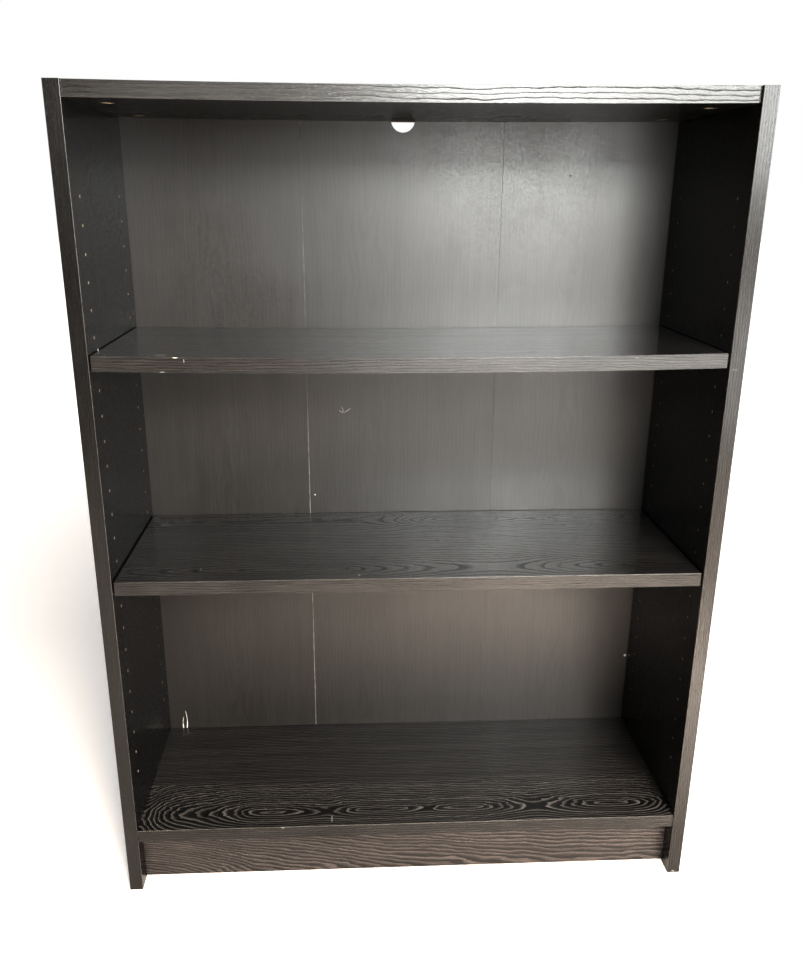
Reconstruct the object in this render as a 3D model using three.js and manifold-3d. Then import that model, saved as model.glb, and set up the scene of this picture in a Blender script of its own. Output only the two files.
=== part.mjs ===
// Bookcase with two adjustable shelves, as an assembly of boards and fittings.
// Millimetres, +Z up. The front faces -Y, and +X is to the right when seen from the front.
// The origin is on the floor, under the middle of the case.

import * as THREE from 'three';
import { mergeVertices } from 'three/addons/utils/BufferGeometryUtils.js';
import Module from 'manifold-3d';

const wasm = await Module();
wasm.setup();

// ---------------------------------------------------------------- driving dimensions

const CASE_WIDTH = 800;
const CASE_DEPTH = 280;
const CASE_HEIGHT = 1060;
const BOARD = 18; // thickness of the sides, top, bottom, plinth and shelves
const BAND = 1; // thickness of the front edge bands

const TOP_RECESS = 5; // how far each board's front sits behind the sides' front edges
const BOTTOM_RECESS = 2;
const SHELF_RECESS = 3.25;
const PLINTH_RECESS = 26;

const TOP_SAG = 2.5; // how far the middle of a loaded board has bent down
const UPPER_SHELF_SAG = 4;
const SAG_FACETS = 9; // an odd number, so that the middle facet is level

const BOTTOM_UNDERSIDE = 80;
const PLINTH_CLEARANCE = 3; // gap between the plinth and the floor

const SHELF_END_GAP = 2; // between a shelf's end and the side panel
const SHELF_DEPTH = 260;

const PEG_PITCH = 32;
const PEG_COUNT = 25;
const PEG_TOP = 941.25; // height of the highest hole in each column
const PEG_COLUMNS = [36.5, 229.5]; // distances behind the sides' front edges
const PEG_HOLE_RADIUS = 1.5;
const PEG_HOLE_DEPTH = 10;
const UPPER_SHELF_HOLE = 6; // counted from the highest hole, which is 0
const LOWER_SHELF_HOLE = 15;

const PIN_SHANK_RADIUS = 1.3;
const PIN_SHANK_LENGTH = 9.5;
const PIN_COLLAR_RADIUS = 3;
const PIN_COLLAR_LENGTH = 1;
const PIN_HEAD_RADIUS = 2.25;
const PIN_HEAD_LENGTH = 9.5;
const PIN_ABOVE_UNDERSIDE = 2.75; // height of a pin's axis over the underside of its shelf
const PIN_RECESS_WIDTH = 6;
const PIN_PLAY = 0.1;

const BACK_THICKNESS = 3;
const BACK_INSET = 15; // from the sides' rear edges to the back's front face
const BACK_BOTTOM = 81;
const BACK_TOP = 1045;
const FOLD_LINE = 140; // half the width of the centre leaf
const FOLD_GAP = 0.5;
const GROOVE_DEPTH = 6;
const GROOVE_PLAY = 0.25;
const TOP_GROOVE_CEILING = 1046;
const NOTCH_RADIUS = 16.5;

const CAM_RADIUS = 7.25;
const CAM_HEIGHT = 13.25;
const CAM_HOLE_RADIUS = 7.5;
const CAM_HOLE_DEPTH = 14;
const CAM_FROM_SIDE = 34; // from a side's inner face to a cam's axis
const CAM_COLUMNS = [64, 232]; // distances behind the sides' front edges
const CAM_SUNK = 0.25;
const CAM_SOCKET_RADIUS = 3.25;
const CAM_CROSS = { length: 8, width: 1.4, depth: 1.5 };

const BOLT_BORE_RADIUS = 3.5;
const BOLT_SIDE_HOLE_RADIUS = 2.75;
const BOLT_SIDE_HOLE_DEPTH = 11.5;
// radius and distance from the side's inner face, from the screwed-in tip to the head
const BOLT_PROFILE = [
  [0, -11], [1.8, -11], [2.4, -9.5], [2.4, 0], [3, 0.5], [3, 25],
  [1.5, 26], [1.5, 31], [2.6, 31.5], [2.6, 34], [0, 34.5],
];

const DOWEL_RADIUS = 3.9;
const DOWEL_LENGTH = 30;
const DOWEL_IN_THIN_WAY = 10; // the part that enters a board's face
const DOWEL_HOLE_RADIUS = 4.2;
const DOWEL_PLAY = 0.5;
const BOARD_DOWEL_COLUMN = 148; // behind the sides' front edges
const PLINTH_DOWEL_HEIGHT = 40;
const PLINTH_DOWEL_X = 250;

const NAIL_X = [66, 198, 330];
const NAIL_HEAD = { radius: 1.75, height: 0.75 };
const NAIL_SHANK_RADIUS = 0.7;
const NAIL_LENGTH = 18;
const NAIL_TIP = 1.5;
const NAIL_HOLE_RADIUS = 0.85;
const NAIL_HOLE_DEPTH = 17;

const OVERSHOOT = 2; // how far a cutter runs past the face that it starts from

// number of facets around round shapes
const PEG_FACETS = 8;
const CAM_FACETS = 20;
const BORE_FACETS = 10;
const NOTCH_FACETS = 14;

// ---------------------------------------------------------------- derived places

const INNER = CASE_WIDTH / 2 - BOARD; // a side's inner face, as a distance from the middle
const FRONT = -CASE_DEPTH / 2;
const REAR = CASE_DEPTH / 2;
const TOP_UNDERSIDE = CASE_HEIGHT - BOARD;
const BOTTOM_AXIS = BOTTOM_UNDERSIDE + BOARD / 2;
const TOP_AXIS = TOP_UNDERSIDE + BOARD / 2;
const BACK_FACE = REAR - BACK_INSET;
const BACK_REAR = BACK_FACE + BACK_THICKNESS;
const SHELF_HALF = INNER - SHELF_END_GAP;
const PLINTH_AXIS = FRONT + PLINTH_RECESS + BOARD / 2;
const SIDES = [{ name: 'left', sign: -1 }, { name: 'right', sign: 1 }];

const pegHeight = (index) => PEG_TOP - PEG_PITCH * index;
const shelfUnderside = (index) => pegHeight(index) - PIN_ABOVE_UNDERSIDE;
const behindFront = (distance) => FRONT + distance;

// ---------------------------------------------------------------- materials

const finish = (color, roughness, metalness = 0) =>
  new THREE.MeshStandardMaterial({ color, roughness, metalness });
const veneer = finish(0x2a2624, 0.5);
const edgeBand = finish(0x3b3633, 0.42);
const foil = finish(0x3a3431, 0.38);
const beech = finish(0xc9a679, 0.7);
const zinc = finish(0x8d8f92, 0.38, 0.9);
const steel = finish(0xb4b6b8, 0.3, 1);

// ---------------------------------------------------------------- solid tools

function toSolid(geometry) {
  const bare = geometry.clone();
  bare.deleteAttribute('normal');
  bare.deleteAttribute('uv');
  const merged = mergeVertices(bare);
  const mesh = new wasm.Mesh({
    numProp: 3,
    vertProperties: new Float32Array(merged.attributes.position.array),
    triVerts: new Uint32Array(merged.index.array),
  });
  return new wasm.Manifold(mesh);
}

function toGeometry(solid) {
  const mesh = solid.getMesh();
  const geometry = new THREE.BufferGeometry();
  geometry.setAttribute('position', new THREE.BufferAttribute(mesh.vertProperties, mesh.numProp));
  geometry.setIndex(new THREE.BufferAttribute(mesh.triVerts, 1));
  geometry.computeVertexNormals();
  return geometry;
}

function cut(geometry, cutters) {
  let solid = toSolid(geometry);
  for (const cutter of cutters) {
    solid = solid.subtract(toSolid(cutter));
  }
  return toGeometry(solid);
}

// A box from its lowest to its highest corner.
function block(low, high) {
  const size = high.map((value, axis) => value - low[axis]);
  const centre = high.map((value, axis) => (value + low[axis]) / 2);
  return new THREE.BoxGeometry(...size).translate(...centre);
}

// A round bar from one point to another along X, Y or Z.
function bar(radius, from, to, facets) {
  const axis = from.findIndex((value, index) => value !== to[index]);
  const length = Math.abs(to[axis] - from[axis]);
  const geometry = new THREE.CylinderGeometry(radius, radius, length, facets);
  geometry.rotateY(Math.PI / facets); // puts a flat facet on top
  if (axis === 0) geometry.rotateZ(Math.PI / 2);
  if (axis === 2) geometry.rotateX(Math.PI / 2);
  const centre = from.map((value, index) => (value + to[index]) / 2);
  return geometry.translate(...centre);
}

// Extrudes an outline drawn in X and Z along Y, from yFront to yRear.
function slab(shape, yFront, yRear) {
  const options = { depth: yRear - yFront, bevelEnabled: false, curveSegments: NOTCH_FACETS };
  const geometry = new THREE.ExtrudeGeometry(shape, options);
  return geometry.rotateX(Math.PI / 2).translate(0, yRear, 0);
}

// The outline, in X and Z, of a board that has bent down by `sag` at mid-span.
function saggedOutline(halfLength, underside, sag) {
  const drop = (x) => sag * (1 - (x / halfLength) ** 2);
  const lower = [];
  for (let i = 0; i <= SAG_FACETS; i += 1) {
    const x = -halfLength + (2 * halfLength * i) / SAG_FACETS;
    lower.push(new THREE.Vector2(x, underside - drop(x)));
  }
  const upper = lower.map((point) => new THREE.Vector2(point.x, point.y + BOARD)).reverse();
  return new THREE.Shape([...lower, ...upper]);
}

function level(halfLength, underside) {
  const top = underside + BOARD;
  return new THREE.Shape([
    new THREE.Vector2(-halfLength, underside),
    new THREE.Vector2(halfLength, underside),
    new THREE.Vector2(halfLength, top),
    new THREE.Vector2(-halfLength, top),
  ]);
}

// ---------------------------------------------------------------- cutters shared by the boards

// Holes that enter a side panel's inner face: x is measured outwards from that face.
function sideHole(sign, radius, depth, y, z, facets) {
  const mouth = sign * (INNER - OVERSHOOT);
  const bottom = sign * (INNER + depth);
  return bar(radius, [mouth, y, z], [bottom, y, z], facets);
}

// Holes that enter the end of a board that is butted against a side panel.
function endHole(sign, radius, depth, y, z) {
  const mouth = sign * (INNER + OVERSHOOT);
  const bottom = sign * (INNER - depth);
  return bar(radius, [mouth, y, z], [bottom, y, z], BORE_FACETS);
}

// The cam holes, bolt bores and dowel holes at both ends of the top or bottom panel.
function jointCutters(underside) {
  const axis = underside + BOARD / 2;
  const cutters = [];
  for (const { sign } of SIDES) {
    const camX = sign * (INNER - CAM_FROM_SIDE);
    for (const column of CAM_COLUMNS) {
      const y = behindFront(column);
      const mouth = [camX, y, underside - OVERSHOOT * 2];
      cutters.push(bar(CAM_HOLE_RADIUS, mouth, [camX, y, underside + CAM_HOLE_DEPTH], CAM_FACETS));
      cutters.push(endHole(sign, BOLT_BORE_RADIUS, CAM_FROM_SIDE, y, axis));
    }
    const dowelDepth = DOWEL_LENGTH - DOWEL_IN_THIN_WAY + DOWEL_PLAY;
    cutters.push(endHole(sign, DOWEL_HOLE_RADIUS, dowelDepth, behindFront(BOARD_DOWEL_COLUMN), axis));
  }
  return cutters;
}

// ---------------------------------------------------------------- boards

function sidePanel(sign) {
  const faces = [sign * INNER, (sign * CASE_WIDTH) / 2];
  const low = [Math.min(...faces), FRONT + BAND, 0];
  const high = [Math.max(...faces), REAR, CASE_HEIGHT];
  const cutters = [];
  for (const column of PEG_COLUMNS) {
    for (let i = 0; i < PEG_COUNT; i += 1) {
      const y = behindFront(column);
      cutters.push(sideHole(sign, PEG_HOLE_RADIUS, PEG_HOLE_DEPTH, y, pegHeight(i), PEG_FACETS));
    }
  }
  for (const axis of [TOP_AXIS, BOTTOM_AXIS]) {
    for (const column of CAM_COLUMNS) {
      const y = behindFront(column);
      cutters.push(sideHole(sign, BOLT_SIDE_HOLE_RADIUS, BOLT_SIDE_HOLE_DEPTH, y, axis, BORE_FACETS));
    }
  }
  const dowelDepth = DOWEL_IN_THIN_WAY + DOWEL_PLAY;
  const dowelPlaces = [
    [behindFront(BOARD_DOWEL_COLUMN), TOP_AXIS],
    [behindFront(BOARD_DOWEL_COLUMN), BOTTOM_AXIS],
    [PLINTH_AXIS, PLINTH_DOWEL_HEIGHT],
  ];
  for (const [y, z] of dowelPlaces) {
    cutters.push(sideHole(sign, DOWEL_HOLE_RADIUS, dowelDepth, y, z, BORE_FACETS));
  }
  const grooveFaces = [sign * (INNER - OVERSHOOT), sign * (INNER + GROOVE_DEPTH)];
  const grooveLow = [Math.min(...grooveFaces), BACK_FACE - GROOVE_PLAY, -OVERSHOOT];
  const grooveHigh = [Math.max(...grooveFaces), BACK_REAR + GROOVE_PLAY, CASE_HEIGHT + OVERSHOOT];
  cutters.push(block(grooveLow, grooveHigh));
  return cut(block(low, high), cutters);
}

function sideBand(sign) {
  const faces = [sign * INNER, (sign * CASE_WIDTH) / 2];
  return block([Math.min(...faces), FRONT, 0], [Math.max(...faces), FRONT + BAND, CASE_HEIGHT]);
}

function topPanel() {
  const outline = saggedOutline(INNER, TOP_UNDERSIDE, TOP_SAG);
  const grooveLow = [-INNER - OVERSHOOT, BACK_FACE - GROOVE_PLAY, TOP_UNDERSIDE - TOP_SAG - OVERSHOOT];
  const grooveHigh = [INNER + OVERSHOOT, BACK_REAR + GROOVE_PLAY, TOP_GROOVE_CEILING];
  const cutters = [...jointCutters(TOP_UNDERSIDE), block(grooveLow, grooveHigh)];
  return cut(slab(outline, FRONT + TOP_RECESS + BAND, REAR), cutters);
}

function topBand() {
  const outline = saggedOutline(INNER, TOP_UNDERSIDE, TOP_SAG);
  return slab(outline, FRONT + TOP_RECESS, FRONT + TOP_RECESS + BAND);
}

function bottomPanel() {
  const cutters = jointCutters(BOTTOM_UNDERSIDE);
  const dowelTop = BOTTOM_UNDERSIDE + DOWEL_IN_THIN_WAY + DOWEL_PLAY;
  for (const { sign } of SIDES) {
    const x = sign * PLINTH_DOWEL_X;
    const mouth = [x, PLINTH_AXIS, BOTTOM_UNDERSIDE - OVERSHOOT];
    cutters.push(bar(DOWEL_HOLE_RADIUS, mouth, [x, PLINTH_AXIS, dowelTop], BORE_FACETS));
    for (const nailX of NAIL_X) {
      const from = [sign * nailX, BACK_FACE + OVERSHOOT, BOTTOM_AXIS];
      const to = [sign * nailX, BACK_FACE - NAIL_HOLE_DEPTH, BOTTOM_AXIS];
      cutters.push(bar(NAIL_HOLE_RADIUS, from, to, PEG_FACETS));
    }
  }
  const outline = level(INNER, BOTTOM_UNDERSIDE);
  return cut(slab(outline, FRONT + BOTTOM_RECESS + BAND, BACK_FACE), cutters);
}

function bottomBand() {
  return slab(level(INNER, BOTTOM_UNDERSIDE), FRONT + BOTTOM_RECESS, FRONT + BOTTOM_RECESS + BAND);
}

function plinth() {
  const low = [-INNER, FRONT + PLINTH_RECESS, PLINTH_CLEARANCE];
  const high = [INNER, FRONT + PLINTH_RECESS + BOARD, BOTTOM_UNDERSIDE];
  const longPart = DOWEL_LENGTH - DOWEL_IN_THIN_WAY + DOWEL_PLAY;
  const cutters = [];
  for (const { sign } of SIDES) {
    cutters.push(endHole(sign, DOWEL_HOLE_RADIUS, longPart, PLINTH_AXIS, PLINTH_DOWEL_HEIGHT));
    const x = sign * PLINTH_DOWEL_X;
    const mouth = [x, PLINTH_AXIS, BOTTOM_UNDERSIDE + OVERSHOOT];
    const bottom = [x, PLINTH_AXIS, BOTTOM_UNDERSIDE - longPart];
    cutters.push(bar(DOWEL_HOLE_RADIUS, mouth, bottom, BORE_FACETS));
  }
  return cut(block(low, high), cutters);
}

// The recesses under a shelf's ends that its four pins sit in.
function pinRecesses(underside) {
  const ceiling = underside + PIN_ABOVE_UNDERSIDE + PIN_HEAD_RADIUS + PIN_PLAY;
  const reach = INNER - PIN_COLLAR_LENGTH - PIN_HEAD_LENGTH - PIN_PLAY * 5;
  const cutters = [];
  for (const { sign } of SIDES) {
    const ends = [sign * reach, sign * (SHELF_HALF + OVERSHOOT)];
    for (const column of PEG_COLUMNS) {
      const y = behindFront(column);
      const low = [Math.min(...ends), y - PIN_RECESS_WIDTH / 2, underside - OVERSHOOT];
      const high = [Math.max(...ends), y + PIN_RECESS_WIDTH / 2, ceiling];
      cutters.push(block(low, high));
    }
  }
  return cutters;
}

function shelf(outline, underside) {
  const front = FRONT + SHELF_RECESS;
  return cut(slab(outline, front + BAND, front + SHELF_DEPTH), pinRecesses(underside));
}

function shelfBand(outline) {
  const front = FRONT + SHELF_RECESS;
  return slab(outline, front, front + BAND);
}

// ---------------------------------------------------------------- the back's three leaves

// An upright leaf between two X positions, with a hole for each nail that falls on it,
// and with the half-round notch in its upper edge if it is the centre leaf.
function backLeaf(left, right, hasNotch) {
  const shape = new THREE.Shape();
  shape.moveTo(left, BACK_BOTTOM);
  shape.lineTo(right, BACK_BOTTOM);
  shape.lineTo(right, BACK_TOP);
  if (hasNotch) {
    shape.lineTo(NOTCH_RADIUS, BACK_TOP);
    shape.absarc(0, TOP_UNDERSIDE, NOTCH_RADIUS, 0, Math.PI, true);
    shape.lineTo(-NOTCH_RADIUS, BACK_TOP);
  }
  shape.lineTo(left, BACK_TOP);
  shape.closePath();
  for (const { sign } of SIDES) {
    for (const nailX of NAIL_X) {
      const x = sign * nailX;
      if (x > left && x < right) {
        const hole = new THREE.Path();
        hole.absarc(x, BOTTOM_AXIS, NAIL_HOLE_RADIUS, 0, 2 * Math.PI, false);
        shape.holes.push(hole);
      }
    }
  }
  return slab(shape, BACK_FACE, BACK_REAR);
}

// ---------------------------------------------------------------- fittings

// A cam lock, standing on the origin with its cross recess down and its socket towards +X.
function camLock() {
  const body = bar(CAM_RADIUS, [0, 0, 0], [0, 0, CAM_HEIGHT], CAM_FACETS);
  const socketHeight = BOARD / 2 - CAM_SUNK;
  const reach = CAM_RADIUS + OVERSHOOT;
  const { length, width, depth } = CAM_CROSS;
  return cut(body, [
    bar(CAM_SOCKET_RADIUS, [-1.5, 0, socketHeight], [reach, 0, socketHeight], BORE_FACETS),
    block([-length / 2, -width / 2, -OVERSHOOT], [length / 2, width / 2, depth]),
    block([-width / 2, -length / 2, -OVERSHOOT], [width / 2, length / 2, depth]),
  ]);
}

// A turned piece whose profile is given as radius and distance along its axis.
function turned(profile, facets) {
  const points = profile.map(([radius, along]) => new THREE.Vector2(radius, along));
  return new THREE.LatheGeometry(points, facets);
}

// A cam bolt along X, with the side's inner face at x = 0 and its head towards -X.
function camBolt() {
  return turned(BOLT_PROFILE, BORE_FACETS).rotateZ(Math.PI / 2);
}

// A shelf pin along X, with the side's inner face at x = 0 and its head towards -X.
function shelfPin() {
  const collarEnd = PIN_COLLAR_LENGTH;
  const headEnd = PIN_COLLAR_LENGTH + PIN_HEAD_LENGTH;
  const profile = [
    [0, -PIN_SHANK_LENGTH],
    [PIN_SHANK_RADIUS, -PIN_SHANK_LENGTH],
    [PIN_SHANK_RADIUS, 0],
    [PIN_COLLAR_RADIUS, 0],
    [PIN_COLLAR_RADIUS, collarEnd],
    [PIN_HEAD_RADIUS, collarEnd],
    [PIN_HEAD_RADIUS, headEnd],
    [0, headEnd],
  ];
  return turned(profile, PEG_FACETS).rotateZ(Math.PI / 2);
}

// A nail along Y, with the underside of its head at y = 0 and its tip towards -Y.
function nail() {
  const { radius, height } = NAIL_HEAD;
  const profile = [
    [0, -NAIL_LENGTH],
    [NAIL_SHANK_RADIUS, -NAIL_LENGTH + NAIL_TIP],
    [NAIL_SHANK_RADIUS, 0],
    [radius, 0],
    [radius, height],
    [0, height],
  ];
  return turned(profile, PEG_FACETS);
}

function dowel() {
  return new THREE.CylinderGeometry(DOWEL_RADIUS, DOWEL_RADIUS, DOWEL_LENGTH, BORE_FACETS);
}

// ---------------------------------------------------------------- assembly

const bookcase = new THREE.Group();
const carcass = new THREE.Group();
const upperShelf = new THREE.Group();
const lowerShelf = new THREE.Group();
bookcase.add(carcass, upperShelf, lowerShelf);

function place(group, name, geometry, material, position = [0, 0, 0], turn = [0, 0, 0]) {
  const mesh = new THREE.Mesh(geometry, material);
  mesh.name = name;
  mesh.position.set(...position);
  mesh.rotation.set(...turn);
  group.add(mesh);
}

for (const { name, sign } of SIDES) {
  place(carcass, `side_panel_${name}`, sidePanel(sign), veneer);
  place(carcass, `side_band_${name}`, sideBand(sign), edgeBand);
}
place(carcass, 'top_panel', topPanel(), veneer);
place(carcass, 'top_band', topBand(), edgeBand);
place(carcass, 'bottom_panel', bottomPanel(), veneer);
place(carcass, 'bottom_band', bottomBand(), edgeBand);
place(carcass, 'plinth', plinth(), veneer);

const backEdge = INNER + GROOVE_DEPTH - FOLD_GAP;
const foldStart = FOLD_LINE - FOLD_GAP / 2;
const foldEnd = FOLD_LINE + FOLD_GAP / 2;
place(carcass, 'back_leaf_left', backLeaf(-backEdge, -foldEnd, false), foil);
place(carcass, 'back_leaf_centre', backLeaf(-foldStart, foldStart, true), foil);
place(carcass, 'back_leaf_right', backLeaf(foldEnd, backEdge, false), foil);

// Fittings at the corners: cam locks and bolts in front and behind, a dowel between them.
const halfTurn = Math.PI;
const quarterTurn = Math.PI / 2;
const rows = [['front', 0], ['rear', 1]];
const dowelReach = INNER + DOWEL_IN_THIN_WAY - DOWEL_LENGTH / 2;
for (const { name, sign } of SIDES) {
  const facing = [0, 0, sign > 0 ? 0 : halfTurn];
  for (const [board, underside] of [['top', TOP_UNDERSIDE], ['bottom', BOTTOM_UNDERSIDE]]) {
    const axis = underside + BOARD / 2;
    for (const [row, column] of rows) {
      const y = behindFront(CAM_COLUMNS[column]);
      const cornerName = `${board}_${row}_${name}`;
      const camPlace = [sign * (INNER - CAM_FROM_SIDE), y, underside + CAM_SUNK];
      place(carcass, `cam_lock_${cornerName}`, camLock(), zinc, camPlace, facing);
      place(carcass, `cam_bolt_${cornerName}`, camBolt(), steel, [sign * INNER, y, axis], facing);
    }
    const dowelPlace = [sign * dowelReach, behindFront(BOARD_DOWEL_COLUMN), axis];
    place(carcass, `dowel_${board}_${name}`, dowel(), beech, dowelPlace, [0, 0, quarterTurn]);
  }
  const plinthEnd = [sign * dowelReach, PLINTH_AXIS, PLINTH_DOWEL_HEIGHT];
  place(carcass, `dowel_plinth_end_${name}`, dowel(), beech, plinthEnd, [0, 0, quarterTurn]);
  const uprightHeight = BOTTOM_UNDERSIDE + DOWEL_IN_THIN_WAY - DOWEL_LENGTH / 2;
  const plinthTop = [sign * PLINTH_DOWEL_X, PLINTH_AXIS, uprightHeight];
  place(carcass, `dowel_plinth_top_${name}`, dowel(), beech, plinthTop, [quarterTurn, 0, 0]);
}

// Nails through the back's lower edge.
NAIL_X.forEach((nailX, index) => {
  for (const { name, sign } of SIDES) {
    const nailPlace = [sign * nailX, BACK_REAR, BOTTOM_AXIS];
    place(carcass, `back_nail_${name}_${index + 1}`, nail(), steel, nailPlace);
  }
});

// Shelves on their pins. The pins stay in the sides when a shelf is lifted off.
const shelves = [
  { name: 'upper', group: upperShelf, hole: UPPER_SHELF_HOLE, sag: UPPER_SHELF_SAG },
  { name: 'lower', group: lowerShelf, hole: LOWER_SHELF_HOLE, sag: 0 },
];
for (const { name, group, hole, sag } of shelves) {
  const underside = shelfUnderside(hole);
  const outline = sag > 0 ? saggedOutline(SHELF_HALF, underside, sag) : level(SHELF_HALF, underside);
  place(group, `shelf_${name}`, shelf(outline, underside), veneer);
  place(group, `shelf_band_${name}`, shelfBand(outline), edgeBand);
  for (const side of SIDES) {
    for (const [row, column] of rows) {
      const facing = [0, 0, side.sign > 0 ? 0 : halfTurn];
      const y = behindFront(PEG_COLUMNS[column]);
      const pinPlace = [side.sign * INNER, y, pegHeight(hole)];
      place(carcass, `shelf_pin_${name}_${row}_${side.name}`, shelfPin(), steel, pinPlace, facing);
    }
  }
}

export default bookcase;
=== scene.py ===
"""Bookcase with two adjustable shelves: looks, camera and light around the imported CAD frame.

The scene is in metres, in the CAD frame: +Z up, the open front faces -Y, +X is to the right.
Material patterns are worked out in millimetres of that same frame.
"""

import math
import random

import bmesh
import bpy
from mathutils import Matrix, Vector


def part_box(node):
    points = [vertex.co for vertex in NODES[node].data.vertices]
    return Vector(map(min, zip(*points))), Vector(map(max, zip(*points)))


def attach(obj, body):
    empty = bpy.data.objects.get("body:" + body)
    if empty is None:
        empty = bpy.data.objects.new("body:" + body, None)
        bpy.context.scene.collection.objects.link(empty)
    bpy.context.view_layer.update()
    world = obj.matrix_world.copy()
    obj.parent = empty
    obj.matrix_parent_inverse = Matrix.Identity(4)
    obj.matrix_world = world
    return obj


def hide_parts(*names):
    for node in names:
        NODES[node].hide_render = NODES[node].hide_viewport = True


MM = 0.001
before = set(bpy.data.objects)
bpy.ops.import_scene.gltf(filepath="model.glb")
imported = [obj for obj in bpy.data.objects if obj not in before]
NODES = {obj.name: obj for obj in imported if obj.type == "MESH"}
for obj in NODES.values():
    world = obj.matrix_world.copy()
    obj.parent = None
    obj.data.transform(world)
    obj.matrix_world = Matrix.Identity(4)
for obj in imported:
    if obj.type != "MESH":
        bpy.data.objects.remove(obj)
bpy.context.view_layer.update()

# ------------------------------------------------------------------ camera

CAMERA_PLACE = Vector((-0.0812, -1.2085, 0.9406))
CAMERA_TILT = math.radians(71.256)  # from looking straight down
CAMERA_YAW = math.radians(-2.896)
CAMERA_ROLL = math.radians(0.213)
CAMERA_LENS = 33.932  # for a 36 mm wide sensor along the picture's long side
CAMERA_SHIFT = (0.0104, 0.0262)


def add_camera():
    data = bpy.data.cameras.new("camera")
    data.sensor_width = 36.0
    data.lens = CAMERA_LENS
    data.shift_x, data.shift_y = CAMERA_SHIFT
    camera = bpy.data.objects.new("camera", data)
    yaw = Matrix.Rotation(CAMERA_YAW, 4, "Z")
    tilt = Matrix.Rotation(CAMERA_TILT, 4, "X")
    roll = Matrix.Rotation(CAMERA_ROLL, 4, "Z")
    camera.matrix_world = Matrix.Translation(CAMERA_PLACE) @ yaw @ tilt @ roll
    bpy.context.scene.collection.objects.link(camera)
    bpy.context.scene.camera = camera


add_camera()

# ------------------------------------------------------------------ shader graphs


class Graph:
    """The nodes of a material or a world. A value that is a socket is linked, any other is typed in."""

    def __init__(self, owner):
        owner.use_nodes = True
        self.tree = owner.node_tree
        self.tree.nodes.clear()

    def add(self, kind, inputs=None, **settings):
        node = self.tree.nodes.new("ShaderNode" + kind)
        for name, value in settings.items():
            setattr(node, name, value)
        for key, value in (inputs or {}).items():
            if isinstance(value, bpy.types.NodeSocket):
                self.tree.links.new(value, node.inputs[key])
            else:
                node.inputs[key].default_value = value
        return node

    def math(self, operation, *values):
        return self.add("Math", dict(enumerate(values)), operation=operation).outputs[0]

    def vector(self, operation, *values):
        return self.add("VectorMath", dict(enumerate(values)), operation=operation).outputs[0]

    def length(self, vector):
        return self.add("VectorMath", {0: vector}, operation="LENGTH").outputs[1]

    def split(self, vector):
        return self.add("SeparateXYZ", {0: vector}).outputs

    def join(self, x, y, z):
        return self.add("CombineXYZ", {0: x, 1: y, 2: z}).outputs[0]

    def spread(self, value, low, high, to_low=0.0, to_high=1.0):
        """value from low..high to to_low..to_high, with a soft start and end."""
        sockets = {0: value, 1: low, 2: high, 3: to_low, 4: to_high}
        return self.add("MapRange", sockets, interpolation_type="SMOOTHSTEP").outputs[0]

    def mix(self, factor, first, second):
        """Between two colours."""
        sockets = {0: factor, 6: opaque(first), 7: opaque(second)}
        return self.add("Mix", sockets, data_type="RGBA").outputs[2]

    def blend(self, factor, first, second):
        """Between two numbers."""
        return self.add("Mix", {0: factor, 2: first, 3: second}, data_type="FLOAT").outputs[0]

    def noise(self, vector, detail=2.0, roughness=0.5):
        """Soft noise round 0.5, with features one unit of vector across."""
        sockets = {"Vector": vector, "Scale": 1.0, "Detail": detail, "Roughness": roughness}
        return self.add("TexNoise", sockets).outputs[0]

    def vary(self, noise, to_low=0.0, to_high=1.0):
        """Noise, which mostly lies in 0.3..0.7, spread over to_low..to_high."""
        return self.spread(noise, 0.3, 0.7, to_low, to_high)

    def curve(self, value, stops):
        """A smooth curve from 0..1 through soft stops of (place, height), both in 0..1."""
        ramp = self.add("ValToRGB", {0: value})
        ramp.color_ramp.interpolation = "B_SPLINE"
        elements = ramp.color_ramp.elements
        while len(elements) < len(stops):
            elements.new(0.5)
        for element, (place, height) in zip(elements, stops):
            element.position = place
            element.color = (height, height, height, 1)
        return ramp.outputs[0]


class Surface(Graph):
    """A material of the object, with its place in the frame and its normal at hand."""

    def __init__(self, name):
        self.material = bpy.data.materials.new(name)
        super().__init__(self.material)
        coordinates = self.add("TexCoord")
        self.normal = self.split(coordinates.outputs["Normal"])
        self.place = self.vector("MULTIPLY", coordinates.outputs["Object"], (1000, 1000, 1000))
        self.at = self.split(self.place)  # x, y and z in millimetres

    def solid_noise(self, sizes, detail=2.0, roughness=0.5):
        """Noise through the body, with features of those sizes along X, Y and Z, mm."""
        return self.noise(self.vector("DIVIDE", self.place, sizes), detail, roughness)

    def shader(self, look, bump_depth, **fixed):
        """Ends the material with a Principled shader of that look. fixed are its constant inputs."""
        bump = self.add("Bump", {"Height": look.height, "Strength": 1.0, "Distance": bump_depth})
        principled = self.add("BsdfPrincipled", fixed)
        self.tree.links.new(bump.outputs[0], principled.inputs["Normal"])
        self.tree.links.new(bump.outputs[0], principled.inputs["Coat Normal"])
        self.tree.links.new(look.colour, principled.inputs["Base Color"])
        self.tree.links.new(look.roughness, principled.inputs["Roughness"])
        self.add("OutputMaterial", {0: principled.outputs[0]})
        return self.material


def opaque(colour):
    if isinstance(colour, bpy.types.NodeSocket):
        return colour
    return (*colour, 1.0)


class Look:
    """The three sockets that a surface varies in."""

    def __init__(self, colour, roughness, height):
        self.colour = colour
        self.roughness = roughness
        self.height = height


def blend_looks(graph, mask, under, over):
    return Look(
        graph.mix(mask, under.colour, over.colour),
        graph.blend(mask, under.roughness, over.roughness),
        graph.blend(mask, under.height, over.height),
    )


# ------------------------------------------------------------------ wood and board looks

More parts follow.
